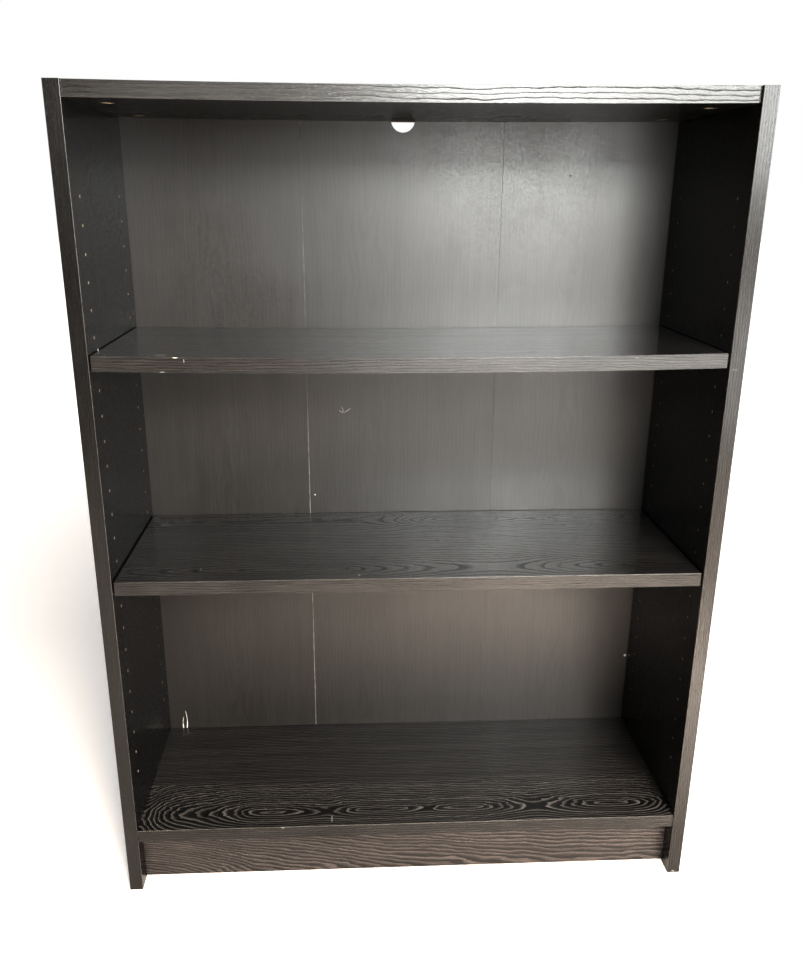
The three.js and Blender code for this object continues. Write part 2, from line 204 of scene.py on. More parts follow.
STAIN_DARK = (0.0020, 0.0018, 0.0017)  # the open pores of the early wood hold the stain
STAIN_LIGHT = (0.100, 0.086, 0.077)  # the hard ridge at a ring's end takes little of it
PLINTH_WARM_LIT_RIDGE = (0.145, 0.112, 0.097)  # the same ridge on the plinth, redder and lighter: painted warm light from low down
PALE_LIGHT = (0.140, 0.118, 0.104)  # and on the bottom panel, the lightest board
AXES = "xyz"
BUMP = 0.04 * MM  # height of the grain's relief

# sizes along and across the grain of what a sheet varies by, mm
SLOW_WANDER = (95, 34)
QUICK_RIPPLE = (21, 7)
FIBRE = (38, 0.8)
PORE = (5.5, 0.42)
CLOUD = (160, 45)


class Leaf:
    """A sheet of veneer: its grain runs along one axis, and rings spread across from its heart."""

    def __init__(self, heart, depths, spacing=3.4, span=(-400, 400), drift=20, ripple=4.0,
                 seed=0.0, vigour=1.0):
        self.heart = heart  # where the flame figure's middle lies across the grain, mm
        self.depths = depths  # (place along the span 0..1, depth of the log's heart in mm)
        self.spacing = spacing  # width of a year's ring, mm
        self.span = span  # ends along the grain, mm
        self.drift = drift  # how far the rings wander over a hand's width, mm
        self.ripple = ripple  # how far they wander over a thumb's width, mm
        self.seed = seed  # a place in the noise, different for each sheet
        self.vigour = vigour  # how strongly the hard ridges show


def sheet_noise(graph, u, v, sizes, seed, detail, roughness=0.5):
    """Noise on a sheet, with features of those sizes along and across the grain."""
    along, across = sizes
    place = graph.join(graph.math("DIVIDE", u, along), graph.math("DIVIDE", v, across), seed)
    return graph.noise(place, detail, roughness)


def ring_turns(graph, leaf, u, v):
    """The number of rings from the log's heart out to the point (u, v) of a sheet."""
    deepest = max(depth for place, depth in leaf.depths)
    start, end = leaf.span
    along = graph.math("DIVIDE", graph.math("SUBTRACT", u, start), end - start)
    stops = [(place, depth / deepest) for place, depth in leaf.depths]
    depth = graph.math("MULTIPLY", graph.curve(along, stops), deepest)
    slow = sheet_noise(graph, u, v, SLOW_WANDER, leaf.seed, 1.0)
    quick = sheet_noise(graph, u, v, QUICK_RIPPLE, leaf.seed + 5, 2.0)
    wander = graph.math("MULTIPLY", graph.math("SUBTRACT", slow, 0.5), leaf.drift)
    ripple = graph.math("MULTIPLY", graph.math("SUBTRACT", quick, 0.5), leaf.ripple)
    side = graph.math("ADD", graph.math("SUBTRACT", v, leaf.heart), ripple)
    deep = graph.math("ADD", graph.math("ADD", depth, wander), ripple)
    squares = graph.math("ADD", graph.math("MULTIPLY", side, side), graph.math("MULTIPLY", deep, deep))
    return graph.math("DIVIDE", graph.math("SQRT", squares), leaf.spacing)


def joined_rings(graph, leaves, joins, u, v):
    """Ring turns and vigour over leaves that lie side by side and meet at the joins."""
    turns = ring_turns(graph, leaves[0], u, v)
    vigour = leaves[0].vigour
    for leaf, join in zip(leaves[1:], joins):
        past = graph.math("GREATER_THAN", v, join)
        turns = graph.blend(past, turns, ring_turns(graph, leaf, u, v))
        vigour = graph.blend(past, vigour, leaf.vigour)
    return turns, vigour


class Figure:
    """How strongly a board shows its grain."""

    def __init__(self, ground=0.13, ridges=0.35, furrows=0.85, furrow_width=0.7, ridge_width=0.4,
                 smooth=0.13, coarse=0.34, gloss=0.5, lacquer=0.0, light=STAIN_LIGHT):
        self.ground = ground  # tone between the lines, 0 dark to 1 light
        self.ridges = ridges  # how much the hard ridges stand out
        self.furrows = furrows  # how dark the pore lines are
        self.furrow_width = furrow_width  # part of a ring, from its start
        self.ridge_width = ridge_width  # part of a ring, up to its end
        self.smooth = smooth  # roughness of the ridges
        self.coarse = coarse  # roughness of the pore lines
        self.gloss = gloss  # specular level
        self.lacquer = lacquer  # 1 under a clear coat
        self.light = light  # colour of the lightest ridge


def ring_profile(graph, turns, vigour, figure):
    """How far a point lies in the open early wood of its ring, and in the hard ridge that ends it."""
    phase = graph.math("FRACT", turns)
    ring = graph.math("FLOOR", turns)
    year = graph.add("TexWhiteNoise", {"W": ring}, noise_dimensions="1D").outputs[0]
    closing = graph.spread(phase, 0.35 * figure.furrow_width, figure.furrow_width, 1.0, 0.0)
    early = graph.math("MULTIPLY", graph.spread(phase, 0.0, 0.06), closing)
    early = graph.math("MULTIPLY", early, graph.blend(year, 0.6, 1.0))
    opening = graph.spread(phase, 0.97 - figure.ridge_width, 0.95 - 0.3 * figure.ridge_width)
    ridge = graph.math("MULTIPLY", opening, graph.spread(phase, 0.93, 1.0, 1.0, 0.0))
    ridge = graph.math("MULTIPLY", ridge, vigour)
    ridge = graph.math("MULTIPLY", ridge, graph.blend(year, 1.0, 0.45))
    return early, ridge


def grain(graph, along, across, leaves, joins, figure):
    """Dark-stained open-pored veneer."""
    u = graph.at[AXES.index(along)]
    v = graph.at[AXES.index(across)]
    turns, vigour = joined_rings(graph, leaves, joins, u, v)
    early, ridge = ring_profile(graph, turns, vigour, figure)
    seed = leaves[0].seed
    fibre = sheet_noise(graph, u, v, FIBRE, seed, 3.0, 0.6)
    pore = sheet_noise(graph, u, v, PORE, seed + 3, 1.0)
    pore = graph.math("MULTIPLY", graph.spread(pore, 0.54, 0.66), graph.blend(early, 0.4, 1.0))
    cloud = sheet_noise(graph, u, v, CLOUD, seed + 9, 2.0)
    streaks = graph.vary(fibre, 0.5, 1.6)
    patches = graph.vary(cloud, 0.75, 1.3)
    ground = graph.math("MULTIPLY", graph.math("MULTIPLY", streaks, patches), figure.ground)
    open_rings = graph.math("MULTIPLY", early, figure.furrows)
    ground = graph.math("MULTIPLY", ground, graph.math("SUBTRACT", 1.0, open_rings))
    fibred = graph.vary(fibre, 0.6 * figure.ridges, 1.1 * figure.ridges)
    tone = graph.math("ADD", ground, graph.math("MULTIPLY", ridge, fibred))
    pore_shade = graph.math("SUBTRACT", 1.0, graph.math("MULTIPLY", pore, 0.6))
    colour = graph.mix(graph.math("MULTIPLY", tone, pore_shade), STAIN_DARK, figure.light)
    open_pores = graph.math("MAXIMUM", open_rings, pore)
    roughness = graph.blend(open_pores, figure.smooth, figure.coarse)
    height = graph.math("SUBTRACT", 1.0, open_pores)
    return Look(colour, roughness, height)


def raw_board(graph):
    """Bare particle board: pale and brown flakes pressed together."""
    vector = graph.vector("MULTIPLY", graph.place, (0.45, 0.45, 0.7))
    flakes = graph.add("TexVoronoi", {"Vector": vector, "Scale": 1.0})
    crumb = graph.noise(graph.vector("MULTIPLY", graph.place, (1.6, 1.6, 1.6)), 3.0)
    flake_tone = graph.split(flakes.outputs["Color"])[0]
    tone = graph.math("MULTIPLY", graph.math("ADD", flake_tone, crumb), 0.5)
    colour = graph.mix(tone, (0.17, 0.105, 0.058), (0.56, 0.43, 0.27))
    return Look(colour, graph.blend(crumb, 0.75, 0.95), tone)


def add_mark(graph, look, spot):
    """A chip, spot or smear on the surface, in an ellipsoid with a ragged edge."""
    away = graph.vector("SUBTRACT", graph.place, spot.centre)
    if spot.turn:
        sockets = {"Vector": away, "Angle": math.radians(spot.turn)}
        away = graph.add("VectorRotate", sockets, rotation_type="Y_AXIS").outputs[0]
    away = graph.length(graph.vector("DIVIDE", away, spot.radii))
    ragged = graph.noise(graph.vector("MULTIPLY", graph.place, (0.9, 0.9, 0.9)), 3.0, 0.7)
    away = graph.math("ADD", away, graph.math("SUBTRACT", ragged, 0.5))
    mask = graph.spread(away, 0.75, 1.1, spot.strength, 0.0)
    return blend_looks(graph, mask, look, Look(spot.colour, MARK_ROUGHNESS, 0.0))


PALE_CORE = (0.45, 0.40, 0.33)
WHITE_CHIP = (0.75, 0.72, 0.66)
DULL_SCUFF = (0.17, 0.155, 0.14)
NEAR_BLACK = (0.012, 0.012, 0.012)
MARK_ROUGHNESS = 0.6


class Mark:
    """Where a mark is, in millimetres, and what it is like."""

    def __init__(self, centre, radii, colour, strength=1.0, turn=0):
        self.centre = centre
        self.radii = radii
        self.colour = colour
        self.strength = strength  # 0 unseen to 1 opaque
        self.turn = turn  # degrees by which its X axis is raised towards Z


def add_marks(graph, look, marks):
    for spot in marks:
        look = add_mark(graph, look, spot)
    return look


HOLE_FRONT = -103.5  # Y of the front column of peg holes, mm
HOLE_TOP = 941.25  # height of its highest hole
HOLE_STEP = 32.0
HOLE_COUNT = 25
HOLE_CEILING = HOLE_TOP + HOLE_STEP / 2
HOLE_FLOOR = HOLE_TOP - (HOLE_COUNT - 0.5) * HOLE_STEP
HOLE_HIGHLIGHT_RING = (1.7, 2.1)  # where the painted highlight round a hole ends, mm from its axis
SIDE_MIDDLE = 391.0  # |X| of a side panel's middle plane: beyond it is the outer face
# painted highlight: a pale ring that stands in for the lit inner wall of each peg hole
HOLE_HIGHLIGHT = (0.30, 0.275, 0.245)
LEFT_HOLE_HIGHLIGHT = 0.85  # how strongly they show: painted stronger on the left side, which faces the light
RIGHT_HOLE_HIGHLIGHT = 0.3


def add_painted_hole_highlights(graph, look, strength):
    """Painted highlight round the front peg holes of a side, standing in for their lit inner walls."""
    y, z = graph.at[1], graph.at[2]
    steps = graph.math("DIVIDE", graph.math("SUBTRACT", z, HOLE_TOP), HOLE_STEP)
    past_hole = graph.math("SUBTRACT", steps, graph.math("ROUND", steps))
    rise = graph.math("MULTIPLY", past_hole, HOLE_STEP)
    away = graph.length(graph.join(graph.math("SUBTRACT", y, HOLE_FRONT), rise, 0.0))
    rim = graph.spread(away, *HOLE_HIGHLIGHT_RING, strength, 0.0)
    rim = graph.math("MULTIPLY", rim, graph.math("LESS_THAN", z, HOLE_CEILING))
    rim = graph.math("MULTIPLY", rim, graph.math("GREATER_THAN", z, HOLE_FLOOR))
    return blend_looks(graph, rim, look, Look(HOLE_HIGHLIGHT, MARK_ROUGHNESS, 0.5))


COAT_ROUGHNESS = 0.12
OUTSIDE = Figure(ground=0.08, ridges=0.20, furrows=0.85, smooth=0.18, coarse=0.36)  # a side's outer face


def board_material(name, face_axis, along, across, leaves, joins=(), marks=(), figure=Figure(),
                   covered_top=None, hole_highlight_strength=0.0):
    """Veneer on a board's two faces, and bare particle board on its cut edges and in its holes.

    covered_top is the height over which the edges are covered too. The last argument is how strongly
    the painted highlights round a side panel's peg holes show.
    """
    graph = Surface(name)
    look = add_marks(graph, grain(graph, along, across, leaves, joins, figure), marks)
    if face_axis == "x":
        outside = grain(graph, along, across, leaves, joins, OUTSIDE)
        outer = graph.math("GREATER_THAN", graph.math("ABSOLUTE", graph.at[0]), SIDE_MIDDLE)
        # painted highlights round the peg holes, on the inner face only
        look = blend_looks(graph, outer, add_painted_hole_highlights(graph, look, hole_highlight_strength), outside)
    facing = graph.math("ABSOLUTE", graph.normal[AXES.index(face_axis)])
    bare = graph.math("LESS_THAN", facing, 0.5)
    if covered_top is not None:
        bare = graph.math("MULTIPLY", bare, graph.math("LESS_THAN", graph.at[2], covered_top))
    look = blend_looks(graph, bare, look, raw_board(graph))
    fixed = {
        "Specular IOR Level": figure.gloss,
        "Coat Weight": figure.lacquer,
        "Coat Roughness": COAT_ROUGHNESS,
    }
    return graph.shader(look, BUMP, **fixed)


def band_material(name, along, across, leaf, marks=(), figure=Figure()):
    """An edge band: grain on its front, and a pale colour on its narrow edges and bevelled arrises, partly
    the cut of the strip and partly a painted highlight along the arris.
    """
    graph = Surface(name)
    look = grain(graph, along, across, [leaf], [], figure)
    # painted highlight: the narrow edges and the bevel take a pale grey, which also stands for the cut of
    # the strip
    edge_mottle = graph.solid_noise((20, 20, 20), 4.0, 0.65)
    cut_edge_and_highlight = graph.mix(graph.spread(edge_mottle, 0.35, 0.65), (0.10, 0.094, 0.087), (0.16, 0.15, 0.14))
    edge = graph.spread(graph.math("ABSOLUTE", graph.normal[1]), 0.75, 0.95, 1.0, 0.0)
    look.colour = graph.mix(edge, look.colour, cut_edge_and_highlight)
    look = add_marks(graph, look, marks)
    return graph.shader(look, BUMP, **{"Specular IOR Level": figure.gloss})


BACK_SPAN = (81, 1045)
PRINTED_LEAVES = [  # the foil's printed figure, one for each leaf of the back
    Leaf(-262, ((0, 30), (0.3, 6), (0.55, 24), (0.8, 4), (1, 26)), 5.2, BACK_SPAN, 26, 4.0, 91.0),
    Leaf(-48, ((0, 8), (0.25, 30), (0.5, 5), (0.75, 28), (1, 10)), 5.6, BACK_SPAN, 26, 4.0, 92.0),
    Leaf(248, ((0, 34), (0.35, 10), (0.6, 32), (1, 8)), 5.2, BACK_SPAN, 26, 4.0, 93.0),
]
PRINTED_JOINS = (-140, 140)
PRINT_STRENGTH = 0.12
FOIL_DARK = (0.0150, 0.0122, 0.0104)
FOIL_LIGHT = (0.0250, 0.0209, 0.0181)
FOIL_BUMP = 0.02 * MM
FOIL_GLOSS = 0.52


def foil_look(graph):
    """Printed foil: fine upright lines, a faint ring figure, and a skin like orange peel."""
    x, z = graph.at[0], graph.at[2]
    line = graph.noise(graph.join(graph.math("DIVIDE", x, 1.9), 0.0, graph.math("DIVIDE", z, 42)), 3.0, 0.6)
    streak = graph.noise(graph.join(graph.math("DIVIDE", x, 14), 3.0, graph.math("DIVIDE", z, 200)), 2.0)
    peel = graph.solid_noise((1.7, 1.7, 2.3), 2.0, 0.6)
    cloud = graph.solid_noise((120, 120, 150), 3.0, 0.55)
    tone = graph.math("ADD", graph.math("MULTIPLY", line, 0.6), graph.math("MULTIPLY", streak, 0.4))
    turns, _ = joined_rings(graph, PRINTED_LEAVES, PRINTED_JOINS, z, x)
    ring_line = graph.spread(graph.math("FRACT", turns), 0.4, 0.9, 0.0, PRINT_STRENGTH)
    tone = graph.math("SUBTRACT", tone, ring_line)
    colour = graph.mix(graph.spread(tone, 0.25, 0.65), FOIL_DARK, FOIL_LIGHT)
    broad = graph.vary(cloud, 0.35, 0.41)
    fine = graph.vary(peel, -0.05, 0.05)
    return Look(colour, graph.math("ADD", broad, fine), peel)


def hardboard_look(graph):
    """Brown pressed fibre with darker patches."""
    fibre = graph.solid_noise((1.2, 1.2, 1.2), 4.0, 0.7)
    patch = graph.solid_noise((60, 60, 60), 3.0)
    brown = graph.mix(fibre, (0.13, 0.075, 0.038), (0.30, 0.19, 0.105))
    brown = graph.mix(graph.vary(patch, 0.0, 0.4), brown, (0.12, 0.072, 0.04))
    return Look(brown, graph.blend(fibre, 0.6, 0.8), fibre)


def back_material():
    """Foil on the front of the back, and bare hardboard behind and on its edges."""
    graph = Surface("back_foil")
    foil = add_marks(graph, foil_look(graph), BACK_MARKS)
    front = graph.math("LESS_THAN", graph.normal[1], -0.5)
    look = blend_looks(graph, front, hardboard_look(graph), foil)
    return graph.shader(look, FOIL_BUMP, **{"Specular IOR Level": FOIL_GLOSS})


METAL_BUMP = 0.02 * MM
BEECH_BUMP = 0.05 * MM


def metal_material(name, colour, rough, brushed):
    """brushed are the sizes of the fine scratches along X, Y and Z, mm."""
    graph = Surface(name)
    fine = graph.solid_noise(brushed, 3.0, 0.6)
    stain = graph.solid_noise((4, 4, 4), 3.0)
    dull = tuple(channel * 0.6 for channel in colour)
    look = Look(
        graph.mix(graph.spread(stain, 0.35, 0.75), colour, dull),
        graph.vary(fine, rough - 0.08, rough + 0.10),
        fine,
    )
    return graph.shader(look, METAL_BUMP, Metallic=1.0)


def beech_material():
    graph = Surface("dowel_beech")
    fibre = graph.solid_noise((12, 0.5, 0.5), 3.0, 0.6)
    fleck = graph.solid_noise((2.5, 0.4, 0.4), 1.0)
    colour = graph.mix(fibre, (0.50, 0.33, 0.19), (0.66, 0.48, 0.30))
    colour = graph.mix(graph.spread(fleck, 0.6, 0.7, 0.0, 0.5), colour, (0.30, 0.17, 0.09))
    return graph.shader(Look(colour, graph.blend(fibre, 0.5, 0.7), fibre), BEECH_BUMP)


# ------------------------------------------------------------------ marks of use, in millimetres

BACK_MARKS = [
    Mark((235, 125, 971), (1.6, 3, 1.6), (0.004, 0.004, 0.004)),  # a dark dot
    Mark((291, 125, 995), (7, 3, 9), NEAR_BLACK, 0.12),  # soft smudges
    Mark((62, 125, 1028), (14, 3, 9), NEAR_BLACK, 0.12),
    Mark((-132, 125, 506), (1.0, 3, 1.2), PALE_CORE),  # flecks of paint
    Mark((378.5, 125, 217), (2.3, 3, 2.3), WHITE_CHIP),
    Mark((-87.5, 125, 640), (5.5, 3, 0.9), DULL_SCUFF, 0.7, 108),  # three scratches from one point
    Mark((-80.5, 125, 638.5), (6.5, 3, 1.0), DULL_SCUFF, 0.8, 34),
    Mark((-89.5, 125, 636.5), (4.0, 3, 0.9), DULL_SCUFF, 0.9, -28),
]
LEFT_SIDE_MARKS = [Mark((-382, -92, 765), (3, 1.8, 1.8), WHITE_CHIP)]
UPPER_SHELF_MARKS = [Mark((-301, -122, 764), (8, 3.0, 3), DULL_SCUFF)]
UPPER_BAND_MARKS = [
    Mark((-282, -137, 762.6), (3.4, 2, 0.9), PALE_CORE),
    Mark((-272, -137, 758.5), (0.6, 2, 2.6), DULL_SCUFF),
    Mark((-298, -137, 745.3), (3.0, 2, 0.8), DULL_SCUFF),
    Mark((268, -137, 759.5), (1.0, 2, 0.7), DULL_SCUFF, 0.7),
]
LOWER_SHELF_MARKS = [
    Mark((-68, -123, 476.5), (1.6, 2.4, 2), DULL_SCUFF),
    Mark((-355, 78, 476.5), (7, 2.5, 2), DULL_SCUFF, 0.7),
    Mark((-276, -96, 476.5), (1.0, 4, 2), DULL_SCUFF, 0.7),
]
BOTTOM_MARKS = [Mark((-110, -122, 98), (1.4, 8, 2), DULL_SCUFF, 0.6)]
BOTTOM_BAND_MARKS = [Mark((-179, -138, 97.4), (2.6, 2, 1.1), DULL_SCUFF)]
RIGHT_BAND_MARKS = [
    Mark((390, -140, 2.5), (2.4, 2, 1.6), DULL_SCUFF),
    Mark((389, -140, 745), (4, 2, 0.6), DULL_SCUFF, 0.25),
]

# ------------------------------------------------------------------ materials by board

SHELF_SPAN = (-380, 380)
SIDE_SPAN = (0, 1060)
SIDE_COVERED_TOP = 1059.4  # the sides' top edges are veneered too
NO_FLAME = ((0, 60), (0.3, 75), (0.6, 55), (1, 70))  # a heart too deep to reach the sheet


def paint(node_name, material):
    mesh = NODES[node_name].data
    mesh.materials.clear()
    mesh.materials.append(material)


# how the boards and bands show their grain
STRONG = Figure(ground=0.08, ridges=0.82, furrows=0.95, ridge_width=0.42, smooth=0.20, coarse=0.36,
                gloss=0.35, light=PALE_LIGHT)
PLAIN = Figure(ground=0.12, ridges=0.12, furrows=1.0, furrow_width=0.55, smooth=0.09, coarse=0.50,
               lacquer=0.7)
DULL = Figure(ground=0.06, ridges=0.12, furrows=0.8, smooth=0.20, coarse=0.40, gloss=0.25)
QUIET = Figure(ground=0.03, ridges=0.025, furrows=0.4, smooth=0.18, coarse=0.34, gloss=0.19)
CLEAR = Figure(ground=0.14, ridges=0.08, furrows=1.0, furrow_width=0.42, smooth=0.09, coarse=0.50,
               lacquer=0.6)
# the plinth's ridges are painted redder and lighter, for the warm low light on it
PLINTH = Figure(ground=0.13, ridges=0.44, furrows=0.85, furrow_width=0.5, ridge_width=0.62,
                smooth=0.25, coarse=0.42, light=PLINTH_WARM_LIT_RIDGE)
TOP_BAND = Figure(ground=0.15, ridges=0.15, furrows=1.0, furrow_width=0.38, smooth=0.17, coarse=0.80)
BAND = Figure(ground=0.22, ridges=0.10, furrows=0.6, smooth=0.18, coarse=0.36)
LOW_BAND = Figure(ground=0.19, ridges=0.10, furrows=0.6, smooth=0.18, coarse=0.36, gloss=0.33)
RIGHT_BAND = Figure(ground=0.12, ridges=0.06, furrows=0.5, smooth=0.17, coarse=0.32, gloss=0.42)
# painted shade: the left band's ground is darker than the right band's, for the shade on that side
SHADED_LEFT_BAND = Figure(ground=0.08, ridges=0.04, furrows=0.5, smooth=0.20, coarse=0.36)


def paint_bottom():
    # nested tips from the left end, a long eye, a smaller one, and a pointed one at the right end
    depths = ((0, 62), (0.03, 44), (0.066, 34), (0.125, 26), (0.172, 15), (0.2, 6), (0.24, 0), (0.28, 6),
              (0.33, 16), (0.36, 14), (0.4, 3), (0.44, 0), (0.5, 3), (0.54, 11), (0.56, 3), (0.6, 0),
              (0.64, 2), (0.69, 17), (0.745, 26), (0.79, 18), (0.83, 9), (0.87, 2), (0.91, 0), (0.95, 8),
              (0.98, 15), (1, 24))
    front = Leaf(-104, depths, 4.3, SHELF_SPAN, 10, 4.6, 1.0)
    rear = Leaf(190, NO_FLAME, 3.8, SHELF_SPAN, 7, 1.5, 2.0, 0.5)
    paint("bottom_panel", board_material("veneer_bottom", "z", "x", "y", [front, rear], [-34],
                                         BOTTOM_MARKS, STRONG))


def paint_shelves():
    front_depths = ((0, 26), (0.12, 12), (0.3, 0), (0.37, 2), (0.42, 11), (0.5, 25), (0.56, 32), (0.63, 37),
                    (0.7, 34), (0.76, 23), (0.83, 12), (0.9, 3), (1, 0))
    rear_depths = ((0, 38), (0.3, 37), (0.42, 36), (0.48, 28), (0.52, 15), (0.57, 4), (0.62, 0), (0.67, 1),
                   (0.71, 10), (0.75, 14), (0.79, 8), (0.84, 1), (0.88, 0), (0.94, 8), (1, 20))
    front = Leaf(-102, front_depths, 5.5, SHELF_SPAN, 4, 1.6, 11.0)
    rear = Leaf(87, rear_depths, 5.2, SHELF_SPAN, 6, 5.0, 12.0)
    paint("shelf_lower", board_material("veneer_lower_shelf", "z", "x", "y", [front, rear], [-20],
                                        LOWER_SHELF_MARKS, CLEAR))
    upper = Leaf(-220, NO_FLAME, 3.6, SHELF_SPAN, 10, 2.0, 21.0)
    paint("shelf_upper", board_material("veneer_upper_shelf", "z", "x", "y", [upper], [],
                                        UPPER_SHELF_MARKS, PLAIN))


def paint_top_and_plinth():
    top = Leaf(40, ((0, 40), (0.3, 12), (0.5, 30), (0.8, 6), (1, 30)), 3.4, SHELF_SPAN, 20, 4.0, 31.0)
    paint("top_panel", board_material("veneer_top", "z", "x", "y", [top], figure=DULL))
    # the plinth's lines fall from the left end and level out to the right
    depths = ((0, 34), (0.1, 58), (0.2, 74), (0.4, 97), (0.6, 108), (0.8, 116), (1, 117))
    plinth = Leaf(-30, depths, 3.4, SHELF_SPAN, 9, 2.4, 41.0)
    paint("plinth", board_material("veneer_plinth", "y", "x", "z", [plinth], figure=PLINTH))


def paint_sides():
    front_depths = ((0, 30), (0.3, 8), (0.55, 26), (0.8, 10), (1, 30))
    rear_depths = ((0, 10), (0.4, 30), (0.7, 6), (1, 34))
    # the hole highlights are painted stronger on the left side, which faces the light
    sides = [("left", 51.0, LEFT_SIDE_MARKS, LEFT_HOLE_HIGHLIGHT), ("right", 61.0, [], RIGHT_HOLE_HIGHLIGHT)]
    for side, seed, marks, hole_highlight_strength in sides:
        front = Leaf(-60, front_depths, 3.6, SIDE_SPAN, 20, 4.0, seed)
        rear = Leaf(75, rear_depths, 3.4, SIDE_SPAN, 20, 4.0, seed + 2)
        paint(f"side_panel_{side}", board_material(f"veneer_{side}_side", "x", "z", "y", [front, rear], [5],
                                                   marks, QUIET, SIDE_COVERED_TOP, hole_highlight_strength))


def paint_bands():
    top_depths = ((0, 30), (0.4, 22), (0.58, 38), (0.7, 22), (1, 30))
    level_bands = [
        ("top_band", "band_top", Leaf(985, top_depths, 5.0, SHELF_SPAN, 12, 2.6, 71.0), [], TOP_BAND),
        ("shelf_band_upper", "band_upper_shelf", Leaf(600, NO_FLAME, 3.2, SHELF_SPAN, 12, 2.0, 72.0),
         UPPER_BAND_MARKS, BAND),
        ("shelf_band_lower", "band_lower_shelf", Leaf(300, NO_FLAME, 3.2, SHELF_SPAN, 12, 2.0, 73.0),
         [], LOW_BAND),
        ("bottom_band", "band_bottom", Leaf(-60, NO_FLAME, 3.2, SHELF_SPAN, 12, 2.0, 74.0),
         BOTTOM_BAND_MARKS, LOW_BAND),
    ]
    for node_name, name, leaf, marks, figure in level_bands:
        paint(node_name, band_material(name, "x", "z", leaf, marks, figure))
    upright_bands = [("left", -250, [], SHADED_LEFT_BAND), ("right", 250, RIGHT_BAND_MARKS, RIGHT_BAND)]
    for side, heart, marks, figure in upright_bands:
        leaf = Leaf(heart, NO_FLAME, 3.0, SIDE_SPAN, 8, 1.4, 80.0 + heart)
        paint(f"side_band_{side}", band_material(f"band_{side}_side", "z", "x", leaf, marks, figure))


def paint_rest():
    foil = back_material()
    zinc = metal_material("cam_zinc", (0.58, 0.58, 0.60), 0.34, (0.5, 0.5, 0.5))
    steel = metal_material("fitting_steel", (0.62, 0.61, 0.60), 0.26, (0.3, 4, 0.3))
    beech = beech_material()
    for name in NODES:
        if name.startswith("back_leaf"):
            paint(name, foil)
        elif name.startswith("cam_lock"):
            paint(name, zinc)
        elif name.startswith("dowel"):
            paint(name, beech)
        elif name.startswith(("cam_bolt", "back_nail", "shelf_pin")):
            paint(name, steel)


paint_bottom()
paint_shelves()
paint_top_and_plinth()
paint_sides()
paint_bands()
paint_rest()

# ------------------------------------------------------------------ softened edges of the CAD boards

BOARD_EDGE = 0.35 * MM
FITTING_EDGE = 0.15 * MM
SHELF_BOARDS = ("shelf_upper", "shelf_lower")
BOARDS = [name for name in NODES
          if "panel" in name or "band" in name or name == "plinth" or name in SHELF_BOARDS]
FITTINGS = [name for name in NODES if name.startswith(("cam_bolt", "back_nail", "shelf_pin", "dowel"))]


def soften(node_name, width):
    node = NODES[node_name]
    weld = node.modifiers.new("joined_corners", "WELD")
    weld.merge_threshold = 0.01 * MM
    bevel = node.modifiers.new("soft_edges", "BEVEL")
    bevel.width = width
    bevel.segments = 2
    bevel.limit_method = "ANGLE"
    bevel.angle_limit = math.radians(50)


for name in BOARDS:
    soften(name, BOARD_EDGE)
for name in FITTINGS:
    soften(name, FITTING_EDGE)

# ------------------------------------------------------------------ pieces made here

FOLD_X = 140 * MM  # the back folds here, left and right of the middle
back_low, back_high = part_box("back_leaf_centre")
BACK_FRONT, BACK_REAR = back_low.y, back_high.y
BACK_LOW, BACK_HIGH = back_low.z, back_high.z
BOTTOM_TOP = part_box("bottom_panel")[1].z
TOP_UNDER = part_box("top_panel")[0].z  # lowest point of the sagging top panel
PAPER_BUMP = 0.05 * MM


def plain_look(name, light, dark, grain_size, rough):
    """The start of a material of one stuff with a soft mottle, such as paper."""
    graph = Surface(name)
    mottle = graph.solid_noise(grain_size, 4.0, 0.65)
    colour = graph.mix(graph.vary(mottle), dark, light)
    roughness = graph.blend(mottle, rough - 0.1, rough + 0.1)
    return graph, Look(colour, roughness, mottle)


def add_piece(name, mesh_builder, material):
    """A piece of the case from a function that fills an empty bmesh."""
    mesh = bpy.data.meshes.new(name)
    shape = bmesh.new()
    mesh_builder(shape)
    bmesh.ops.recalc_face_normals(shape, faces=shape.faces)
    shape.to_mesh(mesh)
    shape.free()
    mesh.materials.append(material)
    piece = bpy.data.objects.new(name, mesh)
    bpy.context.scene.collection.objects.link(piece)
    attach(piece, "case")
    return piece


def add_ring(shape, points):
    return [shape.verts.new(point) for point in points]


def add_wall(shape, first, second):
    """A band of faces between two rings."""
    count = len(first)
    for index in range(count):
        after = (index + 1) % count
        shape.faces.new((first[index], first[after], second[after], second[index]))


def loft(shape, sections):
    """A closed skin over rings of points, with flat ends."""
    rings = [add_ring(shape, section) for section in sections]
    for lower, upper in zip(rings, rings[1:]):
        add_wall(shape, lower, upper)
    shape.faces.new(rings[0])
    shape.faces.new(rings[-1])


def fold_strip(x, widest, draw):
    """The paper hinge of a fold: a stem in the gap and a frayed ridge on the foil."""

    def build(shape):
        stem = 0.12 * MM
        narrowest = stem + 0.14 * MM
        root = BACK_REAR - 0.2 * MM
        foil = BACK_FRONT - 0.03 * MM
        low, high = BOTTOM_TOP + 0.6 * MM, TOP_UNDER - 0.6 * MM
        rows = 190
        sections = []
        for row in range(rows + 1):
            z = low + (high - low) * row / rows
            half = max(widest / 2 * draw.uniform(0.6, 1.0), narrowest)
            shift = 0.12 * MM * draw.uniform(-1, 1)
            crest = foil - 0.16 * MM * draw.uniform(0.5, 1.0)
            sections.append([
                (x - stem, root, z), (x - stem, foil, z), (x - half + shift, foil, z),
                (x - half / 2 + shift, crest, z), (x + half / 2 + shift, crest, z),
                (x + half + shift, foil, z), (x + stem, foil, z), (x + stem, root, z),
            ])
        loft(shape, sections)
    return build


TAPE_WIDTH = 30 * MM
TAPE_FROM_ENDS = 2 * MM  # how far it ends from the back's lower and upper edge
TAPE_WANDER = 0.3 * MM  # of its two long edges


